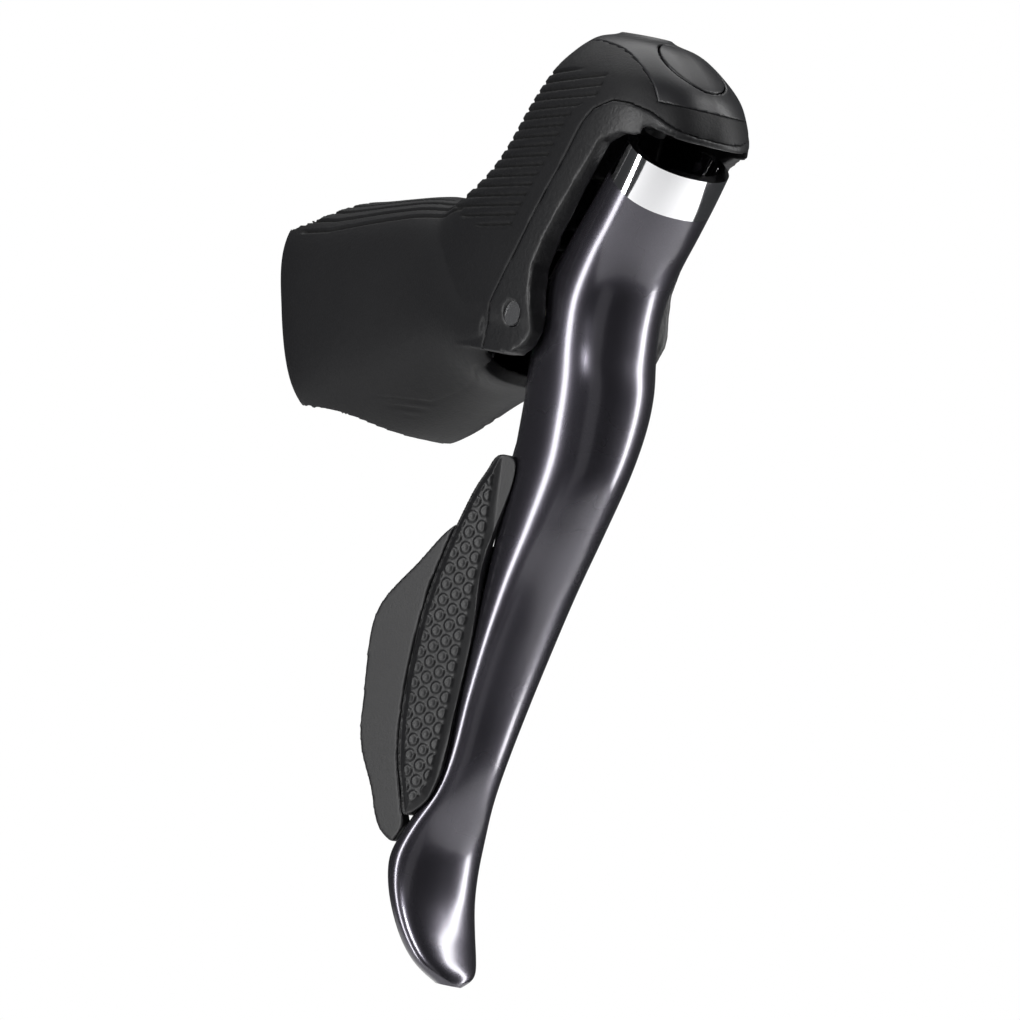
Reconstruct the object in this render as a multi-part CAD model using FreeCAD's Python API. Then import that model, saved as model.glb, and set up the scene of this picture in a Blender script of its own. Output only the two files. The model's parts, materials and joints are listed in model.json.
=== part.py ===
import FreeCAD, Part
import math
import os
from FreeCAD import Vector, Rotation

# Right-hand brake and shift lever for a drop handlebar, in millimetres.
# Drawing coordinates have the lever pivot at the origin: +X forward, +Y to the inside of the
# bicycle, +Z up. Every piece is shifted on saving, so that the row's origin is the centre of the
# handlebar clamp.

# ---- driving dimensions -------------------------------------------------------------------
BAR_R = 12.0                        # clamped handlebar
BAR_CENTRE = Vector(-60, 0, -5)     # clamp centre, seen from the lever pivot
BAR_TILT = 27.0                     # the bar leans back this much towards its top
RUBBER = 2.2                        # hood wall
SLOT_HALF = 10.5                    # half the gap between the bracket arms
LEVER_SIDE = 9.6                    # half width of the lever head
AXLE_R = 2.0
AXLE_HALF = 14.1
BUSH_R = 3.0
BUSH_LENGTH = 3.4
HOOK_AT = (4.5, 17.0)               # cable hook, X and Z from the pivot
HOOK_R = 4.0
HOOK_HALF = 4.6
TRUNNION_R = 1.8
HOUSING_R = 2.55                    # seat for a 5 mm brake housing
PORT_R = 2.7                        # socket for the shift wire connector
BAND_WALL = 0.9
BAND_HALF = 6.5
CLAMP_SKEW = -18.0                  # the clamp bolt points forward and to the outside
BOLT_R = 2.5
BUTTON_SPLAY = 20.0                 # the shift paddles run back and outward
BUTTON_ROOT = Vector(2.0, -9.8, 0)  # where the paddles meet the lever's outer edge
BUTTON_THICK = 2.6
PIN_BACK, PIN_IN = 4.0, 5.4         # paddle hinge, back from the lever's edge and inward
BUTTON_PIN_R = 0.8
CELL_R, CELL_THICK = 8.0, 3.2       # coin cells
RUN = 0.05                          # running clearance on a radius
AIR = 0.3                           # gap between neighbours that only pass each other
RING_POINTS = 20                    # points that a smooth section is drawn through

# Lever blade: height, rear, front, middle across, half width.
BLADE = [
    (38, 13.0, 25.4, 0.0, 9.5),
    (31, 10.0, 22.9, 0.0, 9.6),
    (24, 6.0, 20.4, 0.0, 9.6),
    (18, 2.5, 17.8, 0.0, 9.6),
    (12, -1.0, 15.0, 0.0, 9.6),
    (5, -4.5, 13.2, 0.0, 9.6),
    (-2, -5.0, 14.0, 0.0, 9.7),
    (-8, -4.5, 15.6, 0.0, 9.8),
    (-14, -4.3, 15.9, 0.0, 9.6),
    (-22, -4.2, 15.5, -0.5, 8.9),
    (-32, -3.2, 12.9, -1.2, 8.2),
    (-42, -2.2, 9.8, -1.9, 7.6),
    (-52, -1.7, 7.5, -2.6, 7.0),
    (-62, -1.9, 5.7, -3.2, 6.3),
    (-72, -2.6, 4.4, -3.7, 5.6),
    (-78, -3.4, 3.2, -4.0, 5.9),
    (-84, -5.4, 1.4, -4.2, 7.4),
    (-89, -7.0, 0.7, -4.3, 8.3),
    (-94, -5.6, 1.4, -4.3, 8.2),
    (-99, -2.8, 3.8, -4.2, 7.6),
    (-103, 0.0, 6.6, -4.0, 6.6),
    (-106, 3.2, 8.7, -3.8, 4.9),
    (-107.5, 5.4, 8.4, -3.8, 2.2),
]

# Grip of the hood: top point, bottom point (X, Z), half width, and how square its lower half
# is, from the rear rim forward.
GRIP = [
    ((-71.4, 11.8), (-54.6, -22.6), 15.9, 4.2),
    ((-66.0, 13.2), (-52.4, -24.0), 16.4, 3.8),
    ((-56.0, 14.4), (-46.5, -24.4), 16.3, 3.2),
    ((-46.0, 16.0), (-40.0, -23.9), 15.8, 2.5),
    ((-36.0, 17.5), (-33.5, -21.6), 15.2, 2.3),
    ((-26.0, 17.0), (-25.5, -17.2), 14.8, 2.1),
    ((-15.0, 12.0), (-16.0, -13.0), 14.7, 2.1),
    ((-7.0, 6.0), (-8.0, -10.6), 14.5, 2.1),
]

# Neck and horn of the hood with the bracket arms: height, rear, front, half width. Below the
# lip the front is drawn full here and cut back to ARM_FRONT.
NECK = [
    (-6.6, -26.0, 17.0, 14.2),
    (0.0, -34.0, 19.0, 14.7),
    (7.0, -37.0, 20.5, 14.9),
    (14.0, -34.0, 21.5, 14.7),
    (21.0, -25.5, 22.4, 14.3),
    (27.0, -20.8, 23.8, 14.0),
    (33.4, -17.4, 25.2, 13.8),
    (37.0, -15.6, 23.9, 13.0),
    (40.2, -13.8, 21.8, 11.9),
    (43.0, -11.6, 18.3, 10.2),
    (45.3, -9.4, 14.5, 8.2),
    (47.0, -6.8, 10.0, 5.8),
    (48.1, -4.2, 5.8, 3.0),
]

# Front edge of the arms and underside of the lip, seen from the side.
ARM_FRONT = [
    (-4.0, -6.7), (1.0, -6.3), (3.4, -4.6), (4.6, -2.2), (4.7, 0.0), (3.4, 4.4), (2.8, 8.2),
    (4.2, 13.3), (8.2, 22.0), (10.4, 26.4), (12.2, 29.8), (15.8, 31.6), (22.5, 31.9), (30.0, 31.0),
]

# Seam between the rubber and the bracket arms, seen from the side, from the bottom up.
SEAM = [
    (-4.4, -9.5), (-6.3, -6.0), (-6.6, -3.5), (-5.6, 1.5), (-4.1, 5.0), (1.8, 19.8),
    (7.3, 32.0), (9.1, 34.7), (12.6, 36.6), (15.9, 36.6), (19.8, 35.8), (24.0, 33.6), (30.0, 31.6),
]

# Outlines of the shift paddles: distance back from the lever's edge, and height.
FRONT_PADDLE = [
    (1.4, -22.4), (2.5, -22.9), (3.6, -25.0), (4.9, -27.6), (6.1, -30.8), (7.2, -34.4),
    (9.1, -42.0), (10.3, -49.6), (10.6, -56.0), (10.6, -61.2), (10.1, -67.7), (8.4, -75.6),
    (6.9, -79.4), (5.6, -82.2), (3.6, -81.0), (1.9, -79.0), (0.9, -75.5), (0.4, -65.0),
    (0.3, -50.0), (0.3, -35.0),
]
REAR_PADDLE = [
    (8.2, -34.9), (10.4, -37.2), (13.3, -41.4), (16.4, -45.4), (18.9, -49.1), (19.8, -51.4),
    (20.1, -54.6), (19.6, -60.3), (18.8, -65.9), (17.9, -71.5), (16.9, -74.0), (13.5, -79.8),
    (10.9, -84.9), (9.2, -86.3), (7.2, -86.8), (6.3, -85.6), (6.3, -82.9), (7.6, -79.8),
    (9.0, -75.8), (10.7, -68.0), (11.2, -61.4), (11.2, -56.0), (10.9, -49.4), (9.8, -42.0),
]

os.makedirs("parts", exist_ok=True)
Y_AXIS = Vector(0, 1, 0)
Z_AXIS = Vector(0, 0, 1)


# ---- helpers ------------------------------------------------------------------------------
def largest(shape):
    """The main solid of a shape, without slivers."""
    return max(shape.Solids, key=lambda solid: solid.Volume)


def save(node, shape):
    """Write one node, moved so that the clamp centre is the origin."""
    moved = shape.copy()
    moved.translate(BAR_CENTRE * -1)
    moved.exportStep("parts/" + node + ".step")


def ring(centre, u, v, front_power, back_power=None):
    """Closed smooth wire: a superellipse with half axes u and v. The half behind the centre,
    against u, may have a squareness of its own."""
    points = []
    for i in range(RING_POINTS):
        t = 2 * math.pi * i / RING_POINTS
        c, s = math.cos(t), math.sin(t)
        power = back_power if back_power and c < 0 else front_power
        a = math.copysign(abs(c) ** (2 / power), c)
        b = math.copysign(abs(s) ** (2 / power), s)
        points.append(centre + u * a + v * b)
    curve = Part.BSplineCurve()
    curve.interpolate(Points=points, PeriodicFlag=True)
    return Part.Wire(curve.toShape())


def level_ring(row, inset):
    """Horizontal ring from height, rear, front and half width."""
    z, rear, front, half = row
    middle = Vector((rear + front) / 2, 0, z)
    return ring(middle, Vector((front - rear) / 2 - inset, 0, 0), Vector(0, half - inset, 0), 2.5)


def blade_ring(row, inset=0.0):
    """Level ring of the lever's blade, which leans to the outside towards its tip."""
    z, rear, front, middle, half = row
    centre = Vector((rear + front) / 2, middle, z)
    return ring(centre, Vector((front - rear) / 2 - inset, 0, 0), Vector(0, half - inset, 0), 2.3)


def grip_ring(row, inset):
    """Ring across the grip, between its top and bottom points."""
    top = Vector(row[0][0], 0, row[0][1])
    bottom = Vector(row[1][0], 0, row[1][1])
    up = (top - bottom) * 0.5
    up = up * ((up.Length - inset) / up.Length)
    return ring((top + bottom) * 0.5, up, Vector(0, row[2] - inset, 0), 2.5, row[3])


def prism(outline, y0, y1):
    """Side-view outline (X, Z) extruded from y0 to y1."""
    points = [Vector(x, y0, z) for x, z in outline]
    face = Part.Face(Part.makePolygon(points + points[:1]))
    return face.extrude(Vector(0, y1 - y0, 0))


def block(x0, x1, y0, y1, z0, z1):
    return Part.makeBox(x1 - x0, y1 - y0, z1 - z0, Vector(x0, y0, z0))


def rod(radius, start, direction, length):
    return Part.makeCylinder(radius, length, start, direction)


def tube(outer, inner, start, direction, length):
    return rod(outer, start, direction, length).cut(rod(inner, start, direction, length))


def cross_rod(radius, x, z, half):
    """Cylinder across the lever, centred on the middle plane."""
    return rod(radius, Vector(x, -half, z), Y_AXIS, 2 * half)


def place_on_bar(shape):
    """From the clamp's own frame (bar along Z, X forward) to the drawing."""
    shape = shape.copy()
    shape.Placement = FreeCAD.Placement(BAR_CENTRE, Rotation(Y_AXIS, -BAR_TILT)).multiply(shape.Placement)
    return shape


def coil(radius, wire, turns, start, direction):
    """Spring as a close stack of rings, which keeps its outer size and its weight."""
    rings = []
    for i in range(turns):
        centre = start + direction * (wire * (2 * i + 1) * 1.02)
        rings.append(Part.makeTorus(radius, wire, centre, direction))
    return Part.makeCompound(rings)


# ---- hood and bracket ---------------------------------------------------------------------
def envelope(inset=0.0):
    """Outside of the hood and bracket together, or that body made thinner by inset."""
    grip = Part.makeLoft([grip_ring(row, inset) for row in GRIP], True, False)
    lowered = [(row[0] - inset * (row[0] > 36) * 0.9,) + row[1:] for row in NECK]
    neck = Part.makeLoft([level_ring(row, inset) for row in lowered], True, False)
    below_lip = prism(ARM_FRONT + [(60, 31.0), (60, -20), (-2.0, -20)], -40, 40)
    return grip.fuse(neck.cut(below_lip))


def lever_gap():
    """Room for the lever head between the arms, and for its swing under the hood."""
    outline = [(-3.5, 33.4), (-3.5, 12), (-9.5, 4), (-9.5, -40), (60, -40), (60, 31.6),
               (24, 32.2), (20.5, 33.4)]
    return prism(outline, -SLOT_HALF, SLOT_HALF)


def arm_zone():
    """Everything in front of the seam, where the bracket is bare."""
    return prism(SEAM + [(60, 31.6), (60, -60), (-4.4, -60)], -40, 40)


outer = envelope()
inner = envelope(RUBBER)
gap = lever_gap()
front = arm_zone()

bar = place_on_bar(rod(BAR_R, Vector(0, 0, -60), Z_AXIS, 120))
behind_bar = place_on_bar(block(-60, 3.0, -40, 40, -60, 60))
band_room = place_on_bar(rod(BAR_R + BAND_WALL + AIR, Vector(0, 0, -BAND_HALF - 0.4), Z_AXIS,
                             2 * BAND_HALF + 0.8))

# Horn cap: a smooth panel in the top of the horn, with the third button set into it.
CAP_OUTLINE = [
    (-6.0, -6.6), (2.0, -7.6), (12.0, -8.6), (19.0, -8.9), (30.0, -9.0),
    (30.0, 9.0), (19.0, 8.9), (12.0, 8.6), (2.0, 7.6), (-6.0, 6.6),
]
cap_face = Part.Face(Part.makePolygon([Vector(x, y, 37.6) for x, y in CAP_OUTLINE + CAP_OUTLINE[:1]]))
cap_prism = cap_face.extrude(Vector(0, 0, 20))
horn_shell = outer.cut(inner)
BUTTON_AXIS = Vector(math.sin(math.radians(32)), 0, math.cos(math.radians(32)))
BUTTON_FOOT = Vector(13.2, 0, 41.9) - BUTTON_AXIS * 8


def oval_rod(half_x, half_y, start, length):
    """Oval column along the third button's travel."""
    across = Vector(math.cos(math.radians(32)), 0, -math.sin(math.radians(32)))
    wire = ring(start, across * half_x, Vector(0, half_y, 0), 2.0)
    return Part.Face(wire).extrude(BUTTON_AXIS * length)


button_room = oval_rod(7.4, 5.6, BUTTON_FOOT, 20)
horn_cap = horn_shell.common(cap_prism).cut(button_room)
function_button = horn_shell.common(oval_rod(7.1, 5.3, BUTTON_FOOT, 20))
function_button = function_button.fuse(rod(1.5, BUTTON_FOOT + BUTTON_AXIS * 3.2, BUTTON_AXIS, 4.0))

bar_passage = place_on_bar(rod(BAR_R + BAND_WALL + AIR, Vector(0, 0, -60), Z_AXIS, 120))
hood_cover = largest(horn_shell.cut(front).cut(gap).cut(cap_prism).cut(bar_passage))

# Bracket: the core under the rubber and, in front of the seam, the bare arms.
core = inner.cut(behind_bar).cut(bar).cut(band_room)
arms = outer.common(front)
bracket = core.fuse(arms).cut(gap).cut(cap_prism.common(horn_shell))
bracket = bracket.cut(cross_rod(AXLE_R, 0, 0, 30))

# Hollow for the control board and the cable, open to the lever gap.
bracket = bracket.cut(block(-26.5, -3.4, -4.5, 4.5, -6, 11.6))
bracket = bracket.cut(block(-36, -9.4, -8.8, -0.5, -14, 11.6))
bracket = bracket.cut(block(-10, -3.4, -4.8, 4.8, -6, 24))

# Third button's switch sits in a well under the horn cap.
well = oval_rod(5.4, 4.4, BUTTON_FOOT - BUTTON_AXIS * 2.2, 9.2)
bracket = bracket.cut(well).cut(button_room)

# Brake housing seat: a blind bore over the clamp band, with a hole on to the hook for the cable.
HOUSING_DIR = Vector(-1, 0.08, 0).normalize()
HOUSING_SEAT = Vector(-33, 3.1, 9.5)
HOUSING_DEPTH = 10.0
CABLE_DIR = Vector(-0.977, 0.08, -0.196).normalize()
CABLE_HOLE_R = 1.4
housing_bore = rod(HOUSING_R, HOUSING_SEAT, HOUSING_DIR, HOUSING_DEPTH)
housing_relief = rod(HOUSING_R + 0.75, HOUSING_SEAT + HOUSING_DIR * HOUSING_DEPTH, HOUSING_DIR, 30)
cable_hole = rod(CABLE_HOLE_R, HOUSING_SEAT - CABLE_DIR * 30, CABLE_DIR, 31)
bracket = bracket.cut(housing_bore).cut(housing_relief).cut(cable_hole)
hood_cover = largest(hood_cover.cut(housing_relief))
cable_guide = tube(CABLE_HOLE_R - RUN, 0.8, HOUSING_SEAT - CABLE_DIR * 6.4, CABLE_DIR, 6.0)

# Socket for the shift wire connector, beside the board, facing the clamp.
PORT_DIR = Vector(-0.985, -0.17, 0).normalize()
PORT_FLOOR = Vector(-34.5, -5.6, -9.5)
bracket = bracket.cut(rod(PORT_R, PORT_FLOOR, PORT_DIR, 40))
port_plug = rod(PORT_R - RUN, PORT_FLOOR + PORT_DIR * 0.2, PORT_DIR, 6.0)
port_plug = port_plug.fuse(rod(PORT_R - 0.6, PORT_FLOOR + PORT_DIR * 6.2, PORT_DIR, 1.6))

# Coin cells in a round tray that opens to the inner side of the bicycle.
CELL_AT = (-36.0, -2.5)
TRAY_FLOOR = 2.4
LID_AT = TRAY_FLOOR + 7.45
TRAY_R = CELL_R + 1.0


def cell_disc(radius, y, length):
    """Disc or column on the coin cells' axis."""
    return rod(radius, Vector(CELL_AT[0], y, CELL_AT[1]), Y_AXIS, length)


bracket = bracket.cut(cell_disc(TRAY_R + 0.1, TRAY_FLOOR, 20))
battery_tray = cell_disc(TRAY_R, TRAY_FLOOR, 7.4).cut(cell_disc(CELL_R + 0.1, TRAY_FLOOR + 0.9, 8))
battery_tray = battery_tray.cut(cell_disc(2.0, TRAY_FLOOR - 1, 4))
coin_cells = Part.makeCompound([
    cell_disc(CELL_R, TRAY_FLOOR + 1.0 + i * (CELL_THICK - 0.15), CELL_THICK - 0.2) for i in range(2)
])
battery_contact = cell_disc(1.9, TRAY_FLOOR + 0.1, 0.85)
lid_slot = block(CELL_AT[0] - 5, CELL_AT[0] + 5, LID_AT + 0.5, LID_AT + 2, CELL_AT[1] - 0.8, CELL_AT[1] + 0.8)
battery_lid = cell_disc(TRAY_R, LID_AT, 0.95).cut(lid_slot)
lid_seal = cell_disc(TRAY_R + 0.05, LID_AT + 0.97, 0.25).cut(cell_disc(CELL_R + 0.2, LID_AT + 0.97, 0.25))

# Control board with its radio chip, on two screws in the bracket's hollow.
control_board = block(-35.4, -13, -8.4, -7.2, -6.0, 9.6)
control_board = control_board.fuse(block(-28, -20, -7.3, -5.6, -2, 6))
board_holes = [(-33.0, 7.0), (-15.0, -3.6)]
for x, z in board_holes:
    control_board = control_board.cut(rod(0.9, Vector(x, -9, z), Y_AXIS, 3))
    bracket = bracket.cut(rod(0.8, Vector(x, -11.0, z), Y_AXIS, 4))
board_screws = Part.makeCompound([
    rod(0.75, Vector(x, -10.8, z), Y_AXIS, 3.7).fuse(rod(1.5, Vector(x, -7.15, z), Y_AXIS, 0.8))
    for x, z in board_holes
])

# Third button's switch and return dome.
horn_switch = oval_rod(2.2, 2.2, BUTTON_FOOT - BUTTON_AXIS * 2.0, 2.6)
horn_switch_dome = rod(1.4, BUTTON_FOOT + BUTTON_AXIS * 0.7, BUTTON_AXIS, 1.6)

# ---- handlebar clamp ----------------------------------------------------------------------
def clamp_local(shape):
    """Turn a piece drawn along X to the clamp bolt's direction."""
    turned = shape.copy()
    turned.rotate(Vector(0, 0, 0), Z_AXIS, CLAMP_SKEW)
    return turned


band = tube(BAR_R + BAND_WALL, BAR_R, Vector(0, 0, -BAND_HALF), Z_AXIS, 2 * BAND_HALF)
neck_block = block(BAR_R + 0.5, 18.4, -5.2, 5.2, -5.0, 5.0)
nut_room = block(BAR_R + 1.8, 17.2, -3.7, 3.7, -6, 6)
band = band.fuse(clamp_local(neck_block.cut(nut_room)))
band = band.cut(clamp_local(rod(BOLT_R + 0.2, Vector(BAR_R + 1.0, 0, 0), Vector(1, 0, 0), 12)))
band = band.cut(rod(BAR_R, Vector(0, 0, -20), Z_AXIS, 40))
nut = block(BAR_R + 1.85, 17.15, -3.6, 3.6, -3.6, 3.6)
nut = clamp_local(nut.cut(rod(BOLT_R, Vector(10, 0, 0), Vector(1, 0, 0), 12)))
bolt = rod(BOLT_R - RUN, Vector(BAR_R + 2.0, 0, 0), Vector(1, 0, 0), 9.4)
bolt = bolt.fuse(rod(4.0, Vector(BAR_R + 11.2, 0, 0), Vector(1, 0, 0), 3.0))
bolt_hex = Part.Face(Part.makePolygon([
    Vector(30, 2.2 * math.cos(math.radians(60 * i)), 2.2 * math.sin(math.radians(60 * i)))
    for i in range(7)
])).extrude(Vector(-30 + BAR_R + 12.2, 0, 0))
bolt = clamp_local(bolt.cut(bolt_hex))
neck_room = clamp_local(block(0, 18.8, -5.5, 5.5, -5.4, 5.4))
bolt_room = clamp_local(rod(BOLT_R + 0.3, Vector(0, 0, 0), Vector(1, 0, 0), 40))
head_room = clamp_local(rod(4.3, Vector(BAR_R + 11.1, 0, 0), Vector(1, 0, 0), 30))
for room in (neck_room, bolt_room, head_room):
    bracket = bracket.cut(place_on_bar(room))

# ---- lever axle ---------------------------------------------------------------------------
axle = cross_rod(AXLE_R - 0.005, 0, 0, AXLE_HALF)
axle_screw = rod(1.25, Vector(-0.2, 12.3, -6.4), Vector(0, 0, 1), 4.3)
bracket = bracket.cut(rod(1.25, Vector(-0.2, 12.3, -9), Vector(0, 0, 1), 8))
return_spring = coil(3.6, 0.45, 5, Vector(0, -2.4, 0), Y_AXIS)

# ---- lever --------------------------------------------------------------------------------
blade = Part.makeLoft([blade_ring(row) for row in BLADE], True, False)
above_cap = prism([(-20, 51.6), (60, 3.6), (60, 90), (-20, 90)], -20, 20)
cap_split = prism([(-20, 47.2), (60, -8.8), (60, 90), (-20, 90)], -20, 20)
rear_cut = prism([(-30, 60), (13.4, 32), (10.0, 24), (3.6, 12), (-4.6, 5), (-4.6, -5), (0.4, -12),
                  (0.9, -20), (-0.6, -24), (-30, -24)], -20, 20)
blade = blade.cut(above_cap).cut(rear_cut)
head_hollow = Part.makeLoft([blade_ring(row, 1.7) for row in BLADE[:8]], True, False)
head_hollow = head_hollow.common(prism([(-20, 60), (60, 60), (60, 8), (10, 7), (4, 5), (-20, 5)], -20, 20))
lower_hollow = block(-10, 9.0, -4.2, 4.2, -26, -11).fuse(block(-10, 4.7, -5.6, 5.6, -4.8, 6))
blade = blade.cut(head_hollow).cut(lower_hollow)
blade = blade.cut(cross_rod(BUSH_R, 0, 0, 20))
hook_cheeks = block(0.6, 12.5, -9.2, -HOOK_HALF - AIR, 10.5, 22).fuse(
    block(0.6, 12.5, HOOK_HALF + AIR, 9.2, 10.5, 22))
hook_cheeks = hook_cheeks.cut(cross_rod(TRUNNION_R + RUN, HOOK_AT[0], HOOK_AT[1], 20))
blade = blade.cut(cross_rod(6.2, HOOK_AT[0], HOOK_AT[1], HOOK_HALF + AIR))
blade = blade.cut(cross_rod(TRUNNION_R + AIR, HOOK_AT[0], HOOK_AT[1], HOOK_HALF + 3.0 + AIR))
chrome = blade.common(cap_split)
brake_lever = blade.cut(cap_split)
hook_carrier = hook_cheeks.common(Part.makeLoft([blade_ring(row, 1.75) for row in BLADE[:8]], True, False))
bushings = Part.makeCompound([
    tube(BUSH_R - 0.005, AXLE_R + RUN, Vector(0, y, 0), Y_AXIS, BUSH_LENGTH)
    for y in (-LEVER_SIDE, LEVER_SIDE - BUSH_LENGTH)
])
hook = cross_rod(HOOK_R, HOOK_AT[0], HOOK_AT[1], HOOK_HALF)
hook = hook.fuse(cross_rod(TRUNNION_R, HOOK_AT[0], HOOK_AT[1], HOOK_HALF + 3.0))
hook_middle = Vector(HOOK_AT[0], 0, HOOK_AT[1])
hook = hook.cut(rod(2.9, hook_middle - CABLE_DIR * 1.5, CABLE_DIR * -1, 8))
hook = hook.cut(rod(1.0, hook_middle + CABLE_DIR * 8, CABLE_DIR * -1, 10))

# ---- shift paddles ------------------------------------------------------------------------
SPLAY = Rotation(Z_AXIS, BUTTON_SPLAY)
BACK = SPLAY.multVec(Vector(-1, 0, 0))       # along the paddle, away from the lever
INWARD = SPLAY.multVec(Vector(0, 1, 0))      # through the paddle, away from the finger


def paddle_point(back, inward, z):
    return BUTTON_ROOT + BACK * back + INWARD * inward + Z_AXIS * z


def paddle(outline, near, far):
    """Plate with the given outline, from depth near to depth far."""
    points = [paddle_point(back, near, z) for back, z in outline]
    curve = Part.BSplineCurve()
    curve.interpolate(Points=points, PeriodicFlag=True)
    return Part.Face(Part.Wire(curve.toShape())).extrude(INWARD * (far - near))


def paddle_block(b0, b1, i0, i1, z0, z1):
    corners = [(b0, i0), (b1, i0), (b1, i1), (b0, i1)]
    points = [paddle_point(back, inward, z0) for back, inward in corners]
    return Part.Face(Part.makePolygon(points + points[:1])).extrude(Z_AXIS * (z1 - z0))


def paddle_rod(radius, back, inward, z0, z1):
    return rod(radius, paddle_point(back, inward, z0), Z_AXIS, z1 - z0)


def grown(outline, by):
    """Outline moved outward by a distance, point by point. It runs clockwise."""
    moved = []
    for i, (back, z) in enumerate(outline):
        before, after = outline[i - 1], outline[(i + 1) % len(outline)]
        run = Vector(after[0] - before[0], after[1] - before[1], 0).normalize()
        moved.append((back - run.y * by, z + run.x * by))
    return moved


blade_room = Part.makeLoft([blade_ring(row, -0.35) for row in BLADE], True, False)
front_plate = paddle(FRONT_PADDLE, -0.6, BUTTON_THICK)
rear_plate = paddle(REAR_PADDLE, 0.3, BUTTON_THICK)
rear_plate = rear_plate.cut(paddle(grown(FRONT_PADDLE, 0.75), -0.6, BUTTON_THICK + 0.5))


def hinge_arm(z0, z1):
    """Lug from a paddle's back to the hinge pin."""
    lug = paddle_block(PIN_BACK - 1.3, PIN_BACK + 1.3, BUTTON_THICK - 0.4, PIN_IN, z0, z1)
    return lug.fuse(paddle_rod(1.7, PIN_BACK, PIN_IN, z0, z1))


def rear_link(z0, z1):
    """Arm that carries the rear paddle past the back of the front one."""
    reach = paddle_block(PIN_BACK, 13.4, BUTTON_THICK + 1.3, BUTTON_THICK + 2.5, z0, z1)
    foot = paddle_block(12.0, 13.4, BUTTON_THICK - 0.3, BUTTON_THICK + 2.5, z0, z1)
    return reach.fuse(foot).fuse(paddle_rod(1.7, PIN_BACK, PIN_IN, z0, z1))


front_button = front_plate.fuse(hinge_arm(-44, -40)).fuse(hinge_arm(-72, -68))
rear_button = rear_plate.fuse(rear_link(-48.6, -44.6)).fuse(rear_link(-67.4, -63.4))
pin_bore = paddle_rod(BUTTON_PIN_R + RUN, PIN_BACK, PIN_IN, -90, -20)
front_button = largest(front_button.cut(pin_bore).cut(blade_room))
rear_button = largest(rear_button.cut(pin_bore).cut(blade_room))
button_pin = paddle_rod(BUTTON_PIN_R, PIN_BACK, PIN_IN, -74.4, -37.4)

# Housing of the two switches, on the back of the lever: four ears for the pin, a spine and a box.
HOUSING_NEAR = BUTTON_THICK + 2.9
HOUSING_FAR = HOUSING_NEAR + 3.6
POCKET_FLOOR = HOUSING_FAR - 0.9
switch_housing = paddle_block(5.9, 14.6, HOUSING_NEAR, HOUSING_FAR, -62.4, -49.8)
switch_housing = switch_housing.fuse(paddle_block(0.6, 6.0, PIN_IN + 2.0, HOUSING_FAR, -74.6, -37.2))
for z0, z1 in ((-39.6, -37.2), (-51.6, -49.2), (-62.8, -60.4), (-74.6, -72.4)):
    ear = paddle_block(1.6, 6.0, PIN_IN - 1.6, HOUSING_FAR, z0, z1)
    switch_housing = switch_housing.fuse(ear)
pocket = paddle_block(6.7, 13.8, HOUSING_NEAR - 0.1, POCKET_FLOOR, -61.6, -50.6)
switch_housing = switch_housing.cut(pocket)
switch_housing = switch_housing.cut(paddle_rod(BUTTON_PIN_R, PIN_BACK, PIN_IN, -90, -20))
switch_housing = largest(switch_housing.cut(blade))
switch_board = paddle_block(6.8, 13.7, POCKET_FLOOR - 0.6, POCKET_FLOOR, -61.5, -50.7)


def tact_switch(back, z):
    """Switch body on the board, and a plunger that reaches towards the paddle."""
    body = paddle_block(back - 1.5, back + 1.5, POCKET_FLOOR - 2.0, POCKET_FLOOR - 0.6, z - 1.5, z + 1.5)
    foot = paddle_point(back, BUTTON_THICK + 0.7, z)
    plunger = rod(0.8, foot, INWARD, POCKET_FLOOR - 1.9 - BUTTON_THICK - 0.7)
    return body.fuse(plunger)


def paddle_spring(back, z):
    start = paddle_point(back, BUTTON_THICK + 0.8, z)
    return coil(1.05, 0.2, 10, start, INWARD)


front_switch = tact_switch(8.5, -53.0)
rear_switch = tact_switch(12.1, -53.0)
front_spring = paddle_spring(8.5, -58.6)
rear_spring = paddle_spring(12.1, -58.6)

# ---- reach screw --------------------------------------------------------------------------
reach_screw = rod(1.5, Vector(-9.6, 7.0, 19.6), Vector(1, 0, 0), 9.9)
reach_screw = reach_screw.cut(rod(0.8, Vector(-9.6, 7.0, 19.6), Vector(1, 0, 0), 1.6))
bracket = bracket.cut(rod(1.5, Vector(-9.6, 7.0, 19.6), Vector(1, 0, 0), 12))

NODES = {
    "hood_cover": hood_cover,
    "bracket_body": largest(bracket),
    "horn_cap": horn_cap,
    "function_button": largest(function_button),
    "horn_switch": horn_switch,
    "horn_switch_dome": horn_switch_dome,
    "cable_guide": cable_guide,
    "port_plug": port_plug,
    "battery_tray": battery_tray,
    "coin_cells": coin_cells,
    "battery_contact": battery_contact,
    "battery_lid": battery_lid,
    "lid_seal": lid_seal,
    "control_board": control_board,
    "board_screws": board_screws,
    "clamp_band": place_on_bar(band),
    "clamp_nut": place_on_bar(nut),
    "clamp_bolt": place_on_bar(bolt),
    "lever_axle": axle,
    "axle_screw": axle_screw,
    "return_spring": return_spring,
    "reach_screw": reach_screw,
    "brake_lever": largest(brake_lever),
    "lever_head_cap": largest(chrome),
    "hook_carrier": hook_carrier,
    "axle_bushings": bushings,
    "cable_hook": hook,
    "switch_housing": switch_housing,
    "button_pin": button_pin,
    "switch_board": switch_board,
    "front_switch": front_switch,
    "rear_switch": rear_switch,
    "front_button_spring": front_spring,
    "rear_button_spring": rear_spring,
    "front_shift_button": front_button,
    "rear_shift_button": rear_button,
}

for node, shape in NODES.items():
    save(node, shape)
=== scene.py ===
import bmesh
import bpy
import json
import math
import numpy as np
from mathutils import Matrix, Vector


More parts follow.
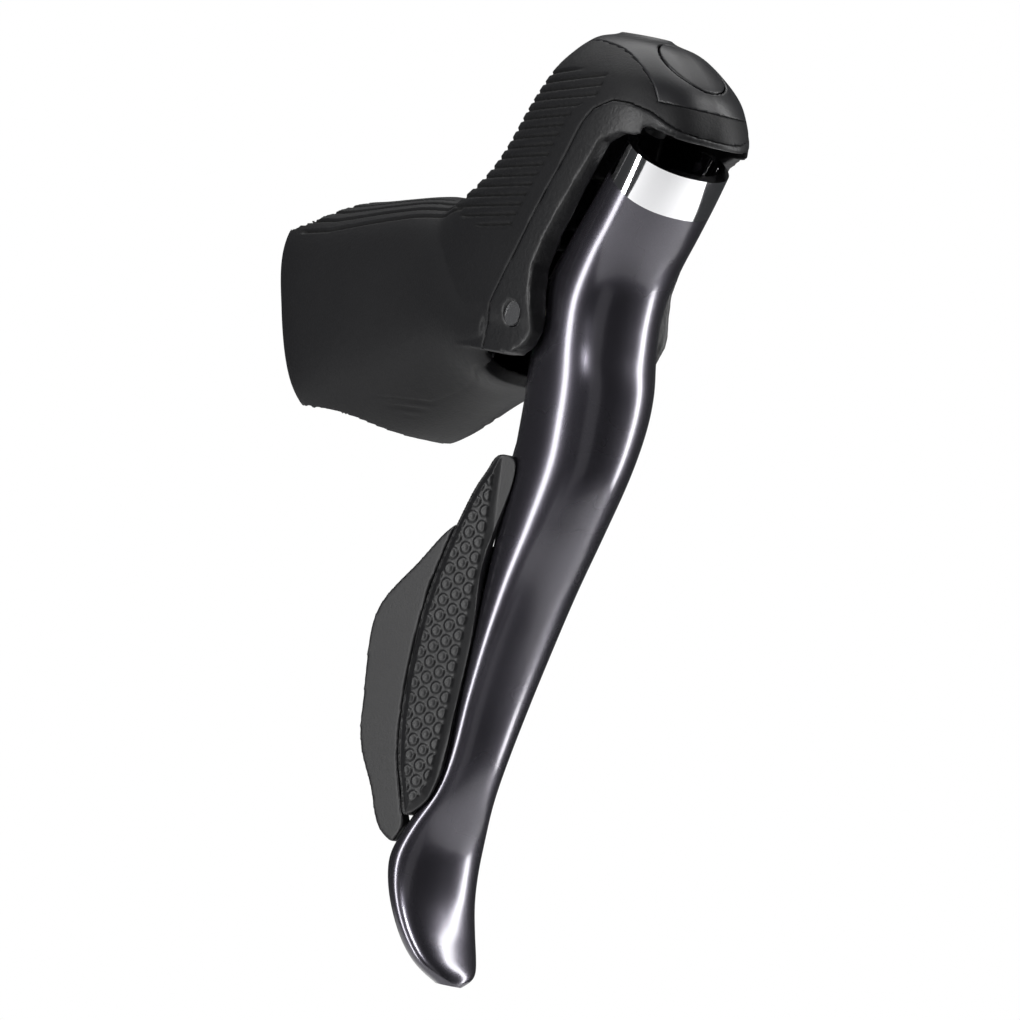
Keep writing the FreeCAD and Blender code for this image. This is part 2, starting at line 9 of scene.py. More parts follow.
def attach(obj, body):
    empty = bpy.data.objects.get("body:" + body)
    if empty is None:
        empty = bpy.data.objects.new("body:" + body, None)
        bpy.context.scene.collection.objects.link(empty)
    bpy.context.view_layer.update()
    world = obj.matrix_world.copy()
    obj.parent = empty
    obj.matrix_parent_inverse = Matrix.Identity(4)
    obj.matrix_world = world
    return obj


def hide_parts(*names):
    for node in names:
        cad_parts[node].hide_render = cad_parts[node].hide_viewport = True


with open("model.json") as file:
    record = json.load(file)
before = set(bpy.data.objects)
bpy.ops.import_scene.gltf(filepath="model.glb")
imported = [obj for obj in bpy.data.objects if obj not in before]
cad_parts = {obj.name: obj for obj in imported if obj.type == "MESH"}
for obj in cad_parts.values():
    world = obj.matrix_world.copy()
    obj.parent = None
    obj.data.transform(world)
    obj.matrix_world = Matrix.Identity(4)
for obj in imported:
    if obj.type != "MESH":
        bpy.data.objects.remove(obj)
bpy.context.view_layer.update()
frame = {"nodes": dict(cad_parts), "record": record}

# Right-hand brake and shift lever for a drop handlebar. The frame holds every piece, and this
# script gives the visible ones finer meshes and every one its material.

# ---- sizes in metres, angles in radians ---------------------------------------------------
MM = 0.001
PIVOT = Vector((0.060, 0.0, 0.005))     # lever axle, from the clamp centre
AIM = Vector((0.0510, 0.0, -0.0259))    # point in the middle of the picture
VIEW_TURN = math.radians(54.3)          # camera's way round from the outer side towards the front
VIEW_ROLL = math.radians(12.0)
CAMERA_FAR = 2.4
SHOWN = 0.1645                          # width of the picture at the object
FLOOR_SIZE = 0.9
FLOOR_AT = (0.02, 0, -0.22)
HOOD_VOXEL = 0.28 * MM                  # mesh sizes of the remeshed pieces
BRACKET_VOXEL = 0.36 * MM
CAP_VOXEL = 0.22 * MM
BUTTON_VOXEL = 0.18 * MM
FRONT_PADDLE_VOXEL = 0.15 * MM
REAR_PADDLE_VOXEL = 0.25 * MM

# ---- the pieces' own sizes in millimetres, and their places from the axle -----------------
GROOVE_DEPTH = 0.36
GRIP_GROOVES = 7                        # lengthwise, on each side of the grip's top
GRIP_GROOVE_STEP = 0.135                # part of the lowest one's angle from the top
GRIP_GROOVE_HALF = 0.40                 # half width of a groove
HORN_GROOVES = 19                       # nearly level, round the horn above the grip
HORN_GROOVE_FIRST = 17.2
HORN_GROOVE_STEP = 1.62
HORN_GROOVE_HALF = 0.36
UNDER_GROOVES = 6                       # shallow, under the front end of the grip
UNDER_GROOVE_FIRST = -16.6
UNDER_GROOVE_STEP = 1.15
UNDER_GROOVE_HALF = 0.40
UNDER_GROOVE_SHARE = 0.35               # of the full depth
SADDLE = (-33, 19)                      # where the grip meets the horn, X and Z
SADDLE_NEAR, SADDLE_FAR = 9, 16         # softened fully up to the first distance
SADDLE_PASSES = 120
BUMP_PITCH = 2.55                       # raised dots of the textured paddle
BUMP_HEIGHT = 0.26
BUMP_DIMPLE = 0.08
BLADE_POWER = 2.3                       # superellipse: 2 is an ellipse, more is squarer
BLADE_WALL = 1.7                        # round the hollow in the blade's head
SPLAY = math.radians(20.0)              # paddles run back and outward
PADDLE_ROOT = np.array([2.0, -9.8])     # lever's edge at the paddles, X and Y
PADDLE_BACK = np.array([-math.cos(SPLAY), -math.sin(SPLAY)])
PADDLE_OUT = np.array([math.sin(SPLAY), -math.cos(SPLAY)])

# Lever blade: height, rear, front, middle across, half width.
BLADE = [
    (38, 13.0, 25.4, 0.0, 9.5), (31, 10.0, 22.9, 0.0, 9.6), (24, 6.0, 20.4, 0.0, 9.6),
    (18, 2.5, 17.8, 0.0, 9.6), (12, -1.0, 15.0, 0.0, 9.6), (5, -4.5, 13.2, 0.0, 9.6),
    (-2, -5.0, 14.0, 0.0, 9.7), (-8, -4.5, 15.6, 0.0, 9.8), (-14, -4.3, 15.9, 0.0, 9.6),
    (-22, -4.2, 15.5, -0.5, 8.9), (-32, -3.2, 12.9, -1.2, 8.2), (-42, -2.2, 9.8, -1.9, 7.6),
    (-52, -1.7, 7.5, -2.6, 7.0), (-62, -1.9, 5.7, -3.2, 6.3), (-72, -2.6, 4.4, -3.7, 5.6),
    (-78, -3.4, 3.2, -4.0, 5.9), (-84, -5.4, 1.4, -4.2, 7.4), (-89, -7.0, 0.7, -4.3, 8.3),
    (-94, -5.6, 1.4, -4.3, 8.2), (-99, -2.8, 3.8, -4.2, 7.6), (-103, 0.0, 6.6, -4.0, 6.6),
    (-106, 3.2, 8.7, -3.8, 4.9), (-107.5, 5.4, 8.4, -3.8, 2.2),
]

# Grip of the hood by its middle line: X, centre height, half height, half width.
GRIP = [(-68, -5.6, 18.0, 16.0), (-56, -5.2, 18.8, 16.3), (-46, -4.0, 20.0, 15.8),
        (-36, -2.4, 19.6, 15.2), (-26, -0.2, 17.2, 14.8), (-15, -0.5, 13.0, 14.7)]

# Rear rim of the hood, its top and bottom points (X, Z), and how round its edge is.
REAR_RIM = ((-71.4, 11.8), (-54.6, -22.6))
RIM_ROUND = 2.2

# Seam between the rubber and the bare arms, X and Z, from the bottom up.
SEAM = [(-4.4, -9.5), (-6.3, -6.0), (-6.6, -3.5), (-5.6, 1.5), (-4.1, 5.0), (1.8, 19.8),
        (7.3, 32.0), (9.1, 34.7), (12.6, 36.6)]

# Outline of the textured paddle: distance back from the lever's edge, and height.
FRONT_PADDLE = [
    (1.4, -22.4), (2.5, -22.9), (3.6, -25.0), (4.9, -27.6), (6.1, -30.8), (7.2, -34.4),
    (9.1, -42.0), (10.3, -49.6), (10.6, -56.0), (10.6, -61.2), (10.1, -67.7), (8.4, -75.6),
    (6.9, -79.4), (5.6, -82.2), (3.6, -81.0), (1.9, -79.0), (0.9, -75.5), (0.4, -65.0),
    (0.3, -50.0), (0.3, -35.0),
]

# Cuts through the blade, seen from the side (X, Z): over its bright cap, behind its head, below
# the head's hollow, the two pockets at its back, and the split between the paint and the cap.
ABOVE_CAP = [(-20, 51.6), (60, 3.6), (60, 90), (-20, 90)]
BEHIND_HEAD = [(-30, 60), (13.4, 32), (10.0, 24), (3.6, 12), (-4.6, 5), (-4.6, -5), (0.4, -12),
               (0.9, -20), (-0.6, -24), (-30, -24)]
BELOW_HOLLOW = [(-60, 6), (60, 6), (60, -130), (-60, -130)]
LOWER_POCKET = [(-10, -11), (9, -11), (9, -26), (-10, -26)]
MIDDLE_POCKET = [(-10, 6.2), (4.7, 6.2), (4.7, -4.8), (-10, -4.8)]
CAP_SPLIT = [(-20, 47.2), (60, -8.8), (60, 90), (-20, 90)]


# ---- camera and light ---------------------------------------------------------------------
def make_camera():
    """Long lens, level with the object, rolled as a hand-held product view."""
    across = Vector((math.cos(VIEW_TURN), math.sin(VIEW_TURN), 0))
    back = Vector((math.sin(VIEW_TURN), -math.cos(VIEW_TURN), 0))
    up = Vector((0, 0, 1))
    right = across * math.cos(VIEW_ROLL) + up * math.sin(VIEW_ROLL)
    above = up * math.cos(VIEW_ROLL) - across * math.sin(VIEW_ROLL)
    data = bpy.data.cameras.new("camera")
    data.sensor_width = 36.0
    data.lens = 36.0 * CAMERA_FAR / SHOWN
    data.clip_end = 20.0
    camera = bpy.data.objects.new("camera", data)
    bpy.context.scene.collection.objects.link(camera)
    turn = Matrix((right, above, back)).transposed().to_4x4()
    camera.matrix_world = Matrix.Translation(AIM + back * CAMERA_FAR) @ turn
    bpy.context.scene.camera = camera
    return right, above, back


RIGHT, ABOVE, TOWARDS = make_camera()


def area_light(name, side, up, near, width, height, power, shape="RECTANGLE"):
    """Soft box at a place given along the picture's right, up and towards the camera."""
    data = bpy.data.lights.new(name, "AREA")
    data.shape = shape
    data.size = width
    if shape == "RECTANGLE":
        data.size_y = height
    data.energy = power
    light = bpy.data.objects.new(name, data)
    bpy.context.scene.collection.objects.link(light)
    place = AIM + RIGHT * side + ABOVE * up + TOWARDS * near
    look = (AIM - place).normalized()
    sideways = look.cross(ABOVE).normalized()
    turn = Matrix((sideways, sideways.cross(look), -look)).transposed().to_4x4()
    light.matrix_world = Matrix.Translation(place) @ turn


# Side, up and near in metres from the middle of the picture, then width, height and watts.
area_light("key_left", -0.55, 0.20, 0.36, 0.15, 0.9, 8.0)
area_light("front_soft", -0.12, 0.55, 0.75, 0.20, 0.20, 5.0, "DISK")
area_light("front_fill", 0.22, 0.05, 0.90, 0.45, 0.9, 0.45)
area_light("rim_right", 0.55, 0.10, -0.03, 0.10, 0.9, 5.5)
area_light("top_back", 0.00, 0.60, -0.30, 0.7, 0.35, 2.6)


def make_world():
    """White backdrop, with a dim room for everything that the object reflects."""
    world = bpy.data.worlds.new("studio")
    bpy.context.scene.world = world
    world.use_nodes = True
    tree = world.node_tree
    tree.nodes.clear()
    output = tree.nodes.new("ShaderNodeOutputWorld")
    mix = tree.nodes.new("ShaderNodeMixShader")
    room = tree.nodes.new("ShaderNodeBackground")
    room.inputs["Color"].default_value = (0.75, 0.77, 0.8, 1)
    room.inputs["Strength"].default_value = 0.07
    sky = tree.nodes.new("ShaderNodeBackground")
    sky.inputs["Color"].default_value = (1, 1, 1, 1)
    sky.inputs["Strength"].default_value = 1.0
    rays = tree.nodes.new("ShaderNodeLightPath")
    tree.links.new(rays.outputs["Is Camera Ray"], mix.inputs[0])
    tree.links.new(room.outputs[0], mix.inputs[1])
    tree.links.new(sky.outputs[0], mix.inputs[2])
    tree.links.new(mix.outputs[0], output.inputs[0])
    bpy.context.scene.view_settings.view_transform = "Standard"


make_world()
bpy.ops.mesh.primitive_plane_add(size=FLOOR_SIZE, location=FLOOR_AT)
floor = bpy.context.object
floor.name = "floor"


# ---- materials ----------------------------------------------------------------------------
def material(name, colour, roughness, metal=0.0, grain=0.0, grain_size=3000.0, spread=0.08,
             coat=0.0, specular=0.5, sheen=0.0):
    """Principled material whose colour, roughness and relief vary in fine grain."""
    mat = bpy.data.materials.new(name)
    mat.use_nodes = True
    nodes, links = mat.node_tree.nodes, mat.node_tree.links
    shader = nodes["Principled BSDF"]
    shader.inputs["Metallic"].default_value = metal
    shader.inputs["Specular IOR Level"].default_value = specular
    shader.inputs["Coat Weight"].default_value = coat
    shader.inputs["Coat Roughness"].default_value = 0.14
    shader.inputs["Sheen Weight"].default_value = sheen
    shader.inputs["Sheen Roughness"].default_value = 0.4
    place = nodes.new("ShaderNodeTexCoord")
    noise = nodes.new("ShaderNodeTexNoise")
    noise.inputs["Scale"].default_value = grain_size
    noise.inputs["Detail"].default_value = 4.0
    links.new(place.outputs["Object"], noise.inputs["Vector"])
    broad = nodes.new("ShaderNodeTexNoise")
    broad.inputs["Scale"].default_value = 60.0
    broad.inputs["Detail"].default_value = 3.0
    links.new(place.outputs["Object"], broad.inputs["Vector"])
    tint = nodes.new("ShaderNodeMapRange")
    tint.inputs["To Min"].default_value = 1.0 - spread
    tint.inputs["To Max"].default_value = 1.0 + spread
    links.new(noise.outputs["Fac"], tint.inputs["Value"])
    paint = nodes.new("ShaderNodeMix")
    paint.data_type = "RGBA"
    paint.blend_type = "MULTIPLY"
    paint.inputs["Factor"].default_value = 1.0
    paint.inputs[6].default_value = (*colour, 1)
    links.new(tint.outputs[0], paint.inputs[7])
    links.new(paint.outputs[2], shader.inputs["Base Color"])
    rough = nodes.new("ShaderNodeMapRange")
    rough.inputs["To Min"].default_value = max(0.02, roughness - 0.05)
    rough.inputs["To Max"].default_value = min(1.0, roughness + 0.05)
    links.new(broad.outputs["Fac"], rough.inputs["Value"])
    links.new(rough.outputs[0], shader.inputs["Roughness"])
    if grain:
        bump = nodes.new("ShaderNodeBump")
        bump.inputs["Strength"].default_value = 1.0
        bump.inputs["Distance"].default_value = grain * MM
        links.new(noise.outputs["Fac"], bump.inputs["Height"])
        links.new(bump.outputs[0], shader.inputs["Normal"])
    return mat


MATERIALS = {
    "hood_rubber": material("hood_rubber", (0.0035, 0.0035, 0.0040), 0.52, grain=0.04, grain_size=2600,
                            spread=0.2, specular=0.16, sheen=0.01),
    "bracket_composite": material("bracket_composite", (0.0055, 0.0055, 0.006), 0.42, grain=0.07,
                                  grain_size=1500, spread=0.3, specular=0.25),
    "cap_plastic": material("cap_plastic", (0.006, 0.006, 0.007), 0.40, grain=0.015, grain_size=3000,
                            spread=0.1, specular=0.3),
    "lever_paint": material("lever_paint", (0.052, 0.049, 0.060), 0.27, metal=0.9, grain=0.004,
                            grain_size=5000, spread=0.25, coat=0.7),
    "chrome_trim": material("chrome_trim", (0.62, 0.62, 0.63), 0.07, metal=1.0, grain_size=800,
                            spread=0.02),
    "paddle_plastic": material("paddle_plastic", (0.004, 0.004, 0.0045), 0.42, grain=0.02,
                               grain_size=2500, spread=0.2, specular=0.22),
    "steel": material("steel", (0.52, 0.52, 0.53), 0.28, metal=1.0, grain=0.004, grain_size=900),
    "spring_steel": material("spring_steel", (0.42, 0.42, 0.43), 0.3, metal=1.0, grain_size=900),
    "alloy": material("alloy", (0.6, 0.6, 0.62), 0.4, metal=1.0, grain=0.01, grain_size=1200),
    "bushing_plastic": material("bushing_plastic", (0.6, 0.58, 0.5), 0.5, grain=0.01),
    "board": material("board", (0.01, 0.13, 0.05), 0.4, grain=0.01, spread=0.2),
    "switch_plastic": material("switch_plastic", (0.03, 0.03, 0.032), 0.5, grain=0.03),
    "seal_rubber": material("seal_rubber", (0.02, 0.02, 0.02), 0.6, grain=0.02),
}
floor.data.materials.append(material("floor_paper", (0.85, 0.85, 0.85), 0.8, grain=0.02))

SLOTS = {row["node"]: row["material_slot"] for row in frame["record"]["subparts"]}
for node, obj in frame["nodes"].items():
    obj.data.materials.clear()
    obj.data.materials.append(MATERIALS[SLOTS[node]])


# ---- mesh helpers -------------------------------------------------------------------------
def finish_piece(obj, slot_name, body):
    """Give a piece its material, and the body that it moves with."""
    obj.data.materials.clear()
    obj.data.materials.append(MATERIALS[slot_name])
    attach(obj, body)


def points_of(obj):
    """Vertices in millimetres from the axle."""
    flat = np.empty(len(obj.data.vertices) * 3, dtype=np.float64)
    obj.data.vertices.foreach_get("co", flat)
    return (flat.reshape(-1, 3) - np.array(PIVOT)) / MM


def set_points(obj, points):
    """Move the vertices to places in millimetres from the axle."""
    flat = points * MM + np.array(PIVOT)
    obj.data.vertices.foreach_set("co", flat.ravel())
    obj.data.update()


def normals_of(obj):
    flat = np.empty(len(obj.data.vertices) * 3, dtype=np.float32)
    obj.data.vertices.foreach_get("normal", flat)
    return flat.reshape(-1, 3).astype(np.float64)


def apply_modifiers(obj):
    """Keep the mesh that the modifiers make, and drop them."""
    graph = bpy.context.evaluated_depsgraph_get()
    mesh = bpy.data.meshes.new_from_object(obj.evaluated_get(graph))
    obj.modifiers.clear()
    old = obj.data
    obj.data = mesh
    bpy.data.meshes.remove(old)


def remeshed(name, node, voxel, passes):
    """Even, smoothed copy of a CAD node's shape, ready for sculpting."""
    obj = bpy.data.objects.new(name, frame["nodes"][node].data.copy())
    bpy.context.scene.collection.objects.link(obj)
    weld = obj.modifiers.new("weld", "WELD")
    weld.merge_threshold = 0.01 * MM
    remesh = obj.modifiers.new("remesh", "REMESH")
    remesh.mode = "VOXEL"
    remesh.voxel_size = voxel
    smooth = obj.modifiers.new("smooth", "SMOOTH")
    smooth.factor = 0.5
    smooth.iterations = passes
    apply_modifiers(obj)
    return obj


def smooth_where(obj, weights, passes):
    """Smooth only the vertices that have weight."""
    group = obj.vertex_groups.new(name="soften")
    for level in range(1, 6):
        chosen = np.nonzero(np.round(weights * 5) == level)[0]
        group.add(chosen.tolist(), level / 5, "REPLACE")
    smooth = obj.modifiers.new("smooth", "SMOOTH")
    smooth.factor = 0.5
    smooth.iterations = passes
    smooth.vertex_group = "soften"
    apply_modifiers(obj)
    obj.vertex_groups.clear()


def shade(obj, angle=None):
    """Smooth shading, with sharp edges over an angle in degrees if one is given."""
    obj.data.shade_smooth()
    if angle:
        obj.data.set_sharp_from_angle(angle=math.radians(angle))


def steps(value, low, high):
    """0 before low, 1 past high, smooth between. Low may be the larger number."""
    t = np.clip((value - low) / (high - low), 0, 1)
    return t * t * (3 - 2 * t)


def line_distance(points, outline, closed):
    """Shortest distance from 2-D points to an outline."""
    best = np.full(len(points), 1e9)
    ends = outline[1:] + outline[:1] if closed else outline[1:]
    for (ax, az), (bx, bz) in zip(outline, ends):
        run = np.array([bx - ax, bz - az])
        t = np.clip(((points - (ax, az)) @ run) / (run @ run), 0, 1)
        near = np.array([ax, az]) + t[:, None] * run
        best = np.minimum(best, np.linalg.norm(points - near, axis=1))
    return best


def inside(points, outline):
    """True where a 2-D point is inside the closed outline."""
    hit = np.zeros(len(points), dtype=bool)
    for (ax, az), (bx, bz) in zip(outline, outline[1:] + outline[:1]):
        crosses = (az > points[:, 1]) != (bz > points[:, 1])
        at = ax + (points[:, 1] - az) / (bz - az + 1e-12) * (bx - ax)
        hit ^= crosses & (points[:, 0] < at)
    return hit


def groove(distance, half_width):
    """Rounded channel profile, 1 at its middle and 0 outside."""
    t = np.clip(1 - (distance / half_width) ** 2, 0, 1)
    return t * t * (3 - 2 * t)


# ---- hood ---------------------------------------------------------------------------------
def grip_shape(x):
    """Centre height, half height and half width of the grip at each X."""
    table = np.array(GRIP, dtype=float)
    return [np.interp(x, table[:, 0], table[:, column]) for column in (1, 2, 3)]


def grip_grooves(p):
    """Lengthwise grooves beside the grip's top, placed by their angle from the top."""
    x, y, z = p.T
    middle, tall, wide = grip_shape(x)
    angle = np.degrees(np.arctan2(np.abs(y) / wide, (z - middle) / tall))
    lowest = np.interp(x, [-62, -21], [53, 41])
    size = (wide + tall) / 2
    depth = np.zeros(len(p))
    for k in range(GRIP_GROOVES):
        line = lowest * (1 - GRIP_GROOVE_STEP * k)
        away = np.abs(angle - line) * math.pi / 180 * size
        last = np.interp(k, [0, 6], [-21, -43])
        first = np.interp(k, [0, 2, 6], [-62.5, -65, -66])
        ends = steps(x, first - 0.8, first + 0.8) * (1 - steps(x, last - 0.8, last + 0.8))
        depth = np.maximum(depth, groove(away, GRIP_GROOVE_HALF) * ends)
    return depth


def horn_grooves(p):
    """Nearly level grooves round the horn, which rise a little towards the seam."""
    x, y, z = p.T
    seam = np.array(SEAM, dtype=float)
    seam_x = np.interp(z, seam[1:, 1], seam[1:, 0])
    rise = z - 0.124 * x + 0.173 * np.abs(y)
    lift = np.clip(z - 18, 0, 30) * 0.0028 * np.clip(seam_x - 4 - x, 0, 30)
    depth = np.zeros(len(p))
    for k in range(HORN_GROOVES):
        away = np.abs(rise + lift - (HORN_GROOVE_FIRST + HORN_GROOVE_STEP * k))
        ends = (1 - steps(x, seam_x - 4.6, seam_x - 3.8)) * steps(z + 0.21 * x, 9.4, 10.2)
        ends = ends * (1 - steps(z, 40.0, 41.0))
        depth = np.maximum(depth, groove(away, HORN_GROOVE_HALF) * ends)
    return depth


def under_grooves(p):
    """Shallow grooves under the front end of the grip."""
    x, y, z = p.T
    bent = z - 0.45 * np.clip(x + 27, 0, 30) + 0.1 * np.clip(-27 - x, 0, 30)
    depth = np.zeros(len(p))
    for k in range(UNDER_GROOVES):
        away = np.abs(bent - (UNDER_GROOVE_FIRST - UNDER_GROOVE_STEP * k))
        ends = steps(x, -38 + 2 * k, -34 + 2 * k) * (1 - steps(x, -12, -10)) * steps(np.abs(y), 5, 8)
        depth = np.maximum(depth, UNDER_GROOVE_SHARE * groove(away, UNDER_GROOVE_HALF) * ends)
    return depth


def hood_grooves(p):
    """How deep in a moulded groove each point is, from 0 to 1."""
    return np.maximum(np.maximum(grip_grooves(p), horn_grooves(p)), under_grooves(p))


def round_rear_rim(obj):
    """Roll the hood's rear rim inward, so that its edge is round instead of cut."""
    p = points_of(obj)
    top, bottom = np.array(REAR_RIM[0]), np.array(REAR_RIM[1])
    run = (top - bottom) / np.linalg.norm(top - bottom)
    ahead = (p[:, 0] - bottom[0]) * run[1] - (p[:, 2] - bottom[1]) * run[0]
    reach = np.clip(RIM_ROUND - ahead, 0, RIM_ROUND)
    shrink = RIM_ROUND - np.sqrt(RIM_ROUND ** 2 - 0.97 * reach ** 2)
    middle = (top + bottom) / 2
    arm = np.stack([p[:, 0] - middle[0], p[:, 1], p[:, 2] - middle[1]], 1)
    arm /= np.linalg.norm(arm, axis=1)[:, None]
    set_points(obj, p - arm * shrink[:, None])


def make_hood():
    """Rubber hood: soft where the grip meets the horn, with its grooves pressed in."""
    obj = remeshed("hood_shell", "hood_cover", HOOD_VOXEL, 4)
    p = points_of(obj)
    from_saddle = np.sqrt((p[:, 0] - SADDLE[0]) ** 2 + (p[:, 2] - SADDLE[1]) ** 2)
    weights = 1 - steps(from_saddle, SADDLE_NEAR, SADDLE_FAR)
    smooth_where(obj, weights, SADDLE_PASSES)
    round_rear_rim(obj)
    p = points_of(obj)
    n = normals_of(obj)
    middle = grip_shape(p[:, 0])[0]
    # Grooves go on the outer skin only: it faces away from the grip's middle line or the horn's.
    outward = n[:, 1] * p[:, 1] + n[:, 2] * (p[:, 2] - middle)
    above = p[:, 2] > 16
    horn_out = n[:, 0] * (p[:, 0] - 2) + n[:, 1] * p[:, 1] + n[:, 2] * 4
    facing = np.where(above, horn_out > 2, outward > 2)
    deep = hood_grooves(p) * facing
    set_points(obj, p - n * (GROOVE_DEPTH * deep)[:, None])
    mark = obj.data.attributes.new("groove", "FLOAT", "POINT")
    mark.data.foreach_set("value", deep.astype(np.float32))
    shade(obj)
    finish_piece(obj, "hood_rubber", "bracket")
    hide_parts("hood_cover")


def groove_shadow(mat):
    """Darken the bottom of the grooves, where little light reaches."""
    nodes, links = mat.node_tree.nodes, mat.node_tree.links
    shader = nodes["Principled BSDF"]
    source = shader.inputs["Base Color"].links[0].from_socket
    mark = nodes.new("ShaderNodeAttribute")
    mark.attribute_name = "groove"
    dark = nodes.new("ShaderNodeMix")
    dark.data_type = "RGBA"
    dark.inputs[7].default_value = (0.002, 0.002, 0.002, 1)
    links.new(mark.outputs["Fac"], dark.inputs["Factor"])
    links.new(source, dark.inputs[6])
    links.new(dark.outputs[2], shader.inputs["Base Color"])


groove_shadow(MATERIALS["hood_rubber"])


# ---- bracket, cap and horn button ---------------------------------------------------------
def make_bracket():
    obj = remeshed("bracket_shell", "bracket_body", BRACKET_VOXEL, 5)
    shade(obj)
    finish_piece(obj, "bracket_composite", "bracket")
    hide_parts("bracket_body")


def make_cap():
    obj = remeshed("horn_cap_skin", "horn_cap", CAP_VOXEL, 3)
    shade(obj)
    finish_piece(obj, "cap_plastic", "bracket")
    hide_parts("horn_cap")


def make_horn_button():
    obj = remeshed("horn_button_skin", "function_button", BUTTON_VOXEL, 3)
    shade(obj)
    finish_piece(obj, "cap_plastic", "horn_button")
    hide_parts("function_button")


# ---- lever --------------------------------------------------------------------------------
def blade_sections(count):
    """Blade table resampled down the blade by a smooth curve through its rows, then softened."""
    table = np.array(BLADE, dtype=float)
    z = table[:, 0]
    slopes = np.gradient(table[:, 1:], z, axis=0)
    slopes[1:-1] = (table[2:, 1:] - table[:-2, 1:]) / (z[2:] - z[:-2])[:, None]
    rows = []
    for at in np.linspace(z[0], z[-1], count):
        i = min(max(int(np.searchsorted(-z, -at)) - 1, 0), len(z) - 2)
        h = z[i + 1] - z[i]
        t = (at - z[i]) / h
        a = 2 * t ** 3 - 3 * t ** 2 + 1
        b = t ** 3 - 2 * t ** 2 + t
        c = -2 * t ** 3 + 3 * t ** 2
        d = t ** 3 - t ** 2
        row = a * table[i, 1:] + b * h * slopes[i] + c * table[i + 1, 1:] + d * h * slopes[i + 1]
        rows.append((at, *row))
    rows = np.array(rows)
    for _ in range(10):
        rows[1:-1, 1:] = 0.25 * rows[:-2, 1:] + 0.5 * rows[1:-1, 1:] + 0.25 * rows[2:, 1:]
    return rows


def mesh_object(name, verts, faces):
    """Object from a mesh given in millimetres from the axle."""
    verts = [tuple(np.array(v) * MM + np.array(PIVOT)) for v in verts]
    mesh = bpy.data.meshes.new(name)
    mesh.from_pydata(verts, [], faces)
    mesh.update()
    obj = bpy.data.objects.new(name, mesh)
    bpy.context.scene.collection.objects.link(obj)
    return obj


def blade_mesh(name, rings=360, around=144, inset=0.0):
    """Closed blade surface: superellipse sections down the blade."""
    verts, faces = [], []
    angles = np.linspace(0, 2 * math.pi, around, endpoint=False)
    c, s = np.cos(angles), np.sin(angles)
    a = np.sign(c) * np.abs(c) ** (2 / BLADE_POWER)
    b = np.sign(s) * np.abs(s) ** (2 / BLADE_POWER)
    for z, rear, front, middle, half in blade_sections(rings):
        xs = (rear + front) / 2 + ((front - rear) / 2 - inset) * a
        ys = middle + (half - inset) * b
        verts.extend(zip(xs, ys, [z] * around))
    for r in range(rings - 1):
        for i in range(around):
            j = (i + 1) % around
            faces.append((r * around + i, r * around + j, (r + 1) * around + j, (r + 1) * around + i))
    faces.append(tuple(range(around - 1, -1, -1)))
    faces.append(tuple(range((rings - 1) * around, rings * around)))
    return mesh_object(name, verts, faces)


def cutter(name, outline, half):
    """Side outline (X, Z) in millimetres, extruded to a half width on both sides of the middle."""
    verts = [(x, -half, z) for x, z in outline] + [(x, half, z) for x, z in outline]
    k = len(outline)
    faces = [tuple(range(k)), tuple(range(2 * k - 1, k - 1, -1))]
    faces += [(i, i + k, (i + 1) % k + k, (i + 1) % k) for i in range(k)]
    obj = mesh_object(name, verts, faces)
    work = bmesh.new()
    work.from_mesh(obj.data)
    bmesh.ops.recalc_face_normals(work, faces=work.faces)
    work.to_mesh(obj.data)
    work.free()
    return obj


def boolean(obj, tool, operation):
    """Apply an exact boolean of one closed mesh with another."""
    step = obj.modifiers.new("cut", "BOOLEAN")
    step.object = tool
    step.operation = operation
    step.solver = "EXACT"
    apply_modifiers(obj)


def make_lever():
    """Painted blade with its hollow head, and the bright cap on the head."""
    blade = blade_mesh("blade_paint")
    top = cutter("top", ABOVE_CAP, 20)
    rear = cutter("rear", BEHIND_HEAD, 20)
    hollow = blade_mesh("hollow", rings=120, around=72, inset=BLADE_WALL)
    below = cutter("below", BELOW_HOLLOW, 30)
    boolean(hollow, below, "DIFFERENCE")
    lower = cutter("lower", LOWER_POCKET, 4.2)
    middle = cutter("middle", MIDDLE_POCKET, 5.6)
    for tool in (top, rear, hollow, lower, middle):
        boolean(blade, tool, "DIFFERENCE")
    split = cutter("split", CAP_SPLIT, 20)
    chrome = bpy.data.objects.new("head_cap_chrome", blade.data.copy())
    bpy.context.scene.collection.objects.link(chrome)
    boolean(chrome, split, "INTERSECT")
    boolean(blade, split, "DIFFERENCE")
    for tool in (top, rear, hollow, below, lower, middle, split):
        bpy.data.objects.remove(tool)
    for obj in (blade, chrome):
        shade(obj, 30)
    finish_piece(blade, "lever_paint", "lever")
    finish_piece(chrome, "chrome_trim", "lever")
    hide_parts("brake_lever")
    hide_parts("lever_head_cap")


# ---- paddles ------------------------------------------------------------------------------
def paddle_coordinates(p):
    """Distance back, distance out towards the finger, and height of each point."""
    flat = p[:, :2] - PADDLE_ROOT
    return flat @ PADDLE_BACK, flat @ PADDLE_OUT, p[:, 2]


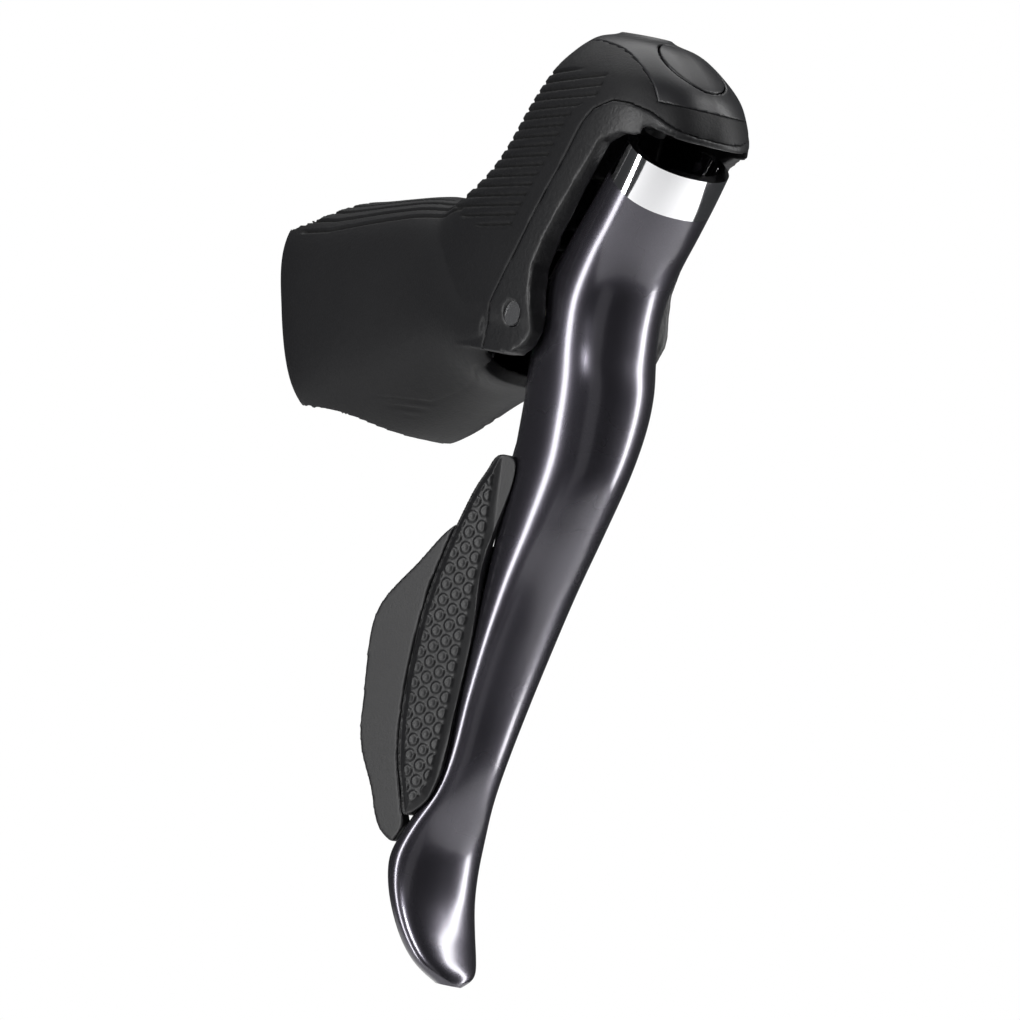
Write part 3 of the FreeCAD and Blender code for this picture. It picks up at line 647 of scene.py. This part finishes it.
def bumps(back, z):
    """Height of the raised dots: a staggered grid of flat-topped bumps, dimpled in the middle."""
    row_gap = BUMP_PITCH * 0.866
    nearest = np.full(len(back), 1e9)
    for shift in (0, 1):
        along = (z + shift * BUMP_PITCH / 2) / BUMP_PITCH
        across = (back + shift * row_gap) / (2 * row_gap)
        dz = (along - np.round(along)) * BUMP_PITCH
        db = (across - np.round(across)) * 2 * row_gap
        nearest = np.minimum(nearest, np.sqrt(dz ** 2 + db ** 2))
    plateau = steps(nearest, 1.12, 0.78)
    dimple = np.clip(1 - (nearest / 0.6) ** 2, 0, 1)
    return BUMP_HEIGHT * plateau - BUMP_DIMPLE * dimple


def make_front_paddle():
    """Textured paddle: a crowned face with a plain margin round its dots."""
    obj = remeshed("front_paddle_skin", "front_shift_button", FRONT_PADDLE_VOXEL, 2)
    p = points_of(obj)
    n = normals_of(obj)
    back, out, z = paddle_coordinates(p)
    facing = n[:, 0] * PADDLE_OUT[0] + n[:, 1] * PADDLE_OUT[1]
    flat = np.stack([back, z], 1)
    margin = line_distance(flat, FRONT_PADDLE, True) * inside(flat, FRONT_PADDLE)
    on_face = steps(facing, 0.6, 0.9) * (out > 0)
    crown = 0.55 * steps(margin, 0.0, 1.5) - 0.35
    pattern = bumps(back, z) * steps(margin, 1.0, 1.4)
    raised = (crown + pattern) * on_face
    tuck = 0.2 * steps(back, 1.4, 0.6)
    set_points(obj, p + np.outer(raised, [*PADDLE_OUT, 0]) - np.outer(tuck, [*PADDLE_BACK, 0]))
    shade(obj)
    finish_piece(obj, "paddle_plastic", "front_paddle")
    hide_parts("front_shift_button")


def make_rear_paddle():
    obj = remeshed("rear_paddle_skin", "rear_shift_button", REAR_PADDLE_VOXEL, 6)
    shade(obj)
    finish_piece(obj, "paddle_plastic", "rear_paddle")
    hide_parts("rear_shift_button")


make_hood()
make_bracket()
make_cap()
make_horn_button()
make_lever()
make_front_paddle()
make_rear_paddle()

for obj in frame["nodes"].values():
    if obj.data and len(obj.data.polygons):
        shade(obj, 35)
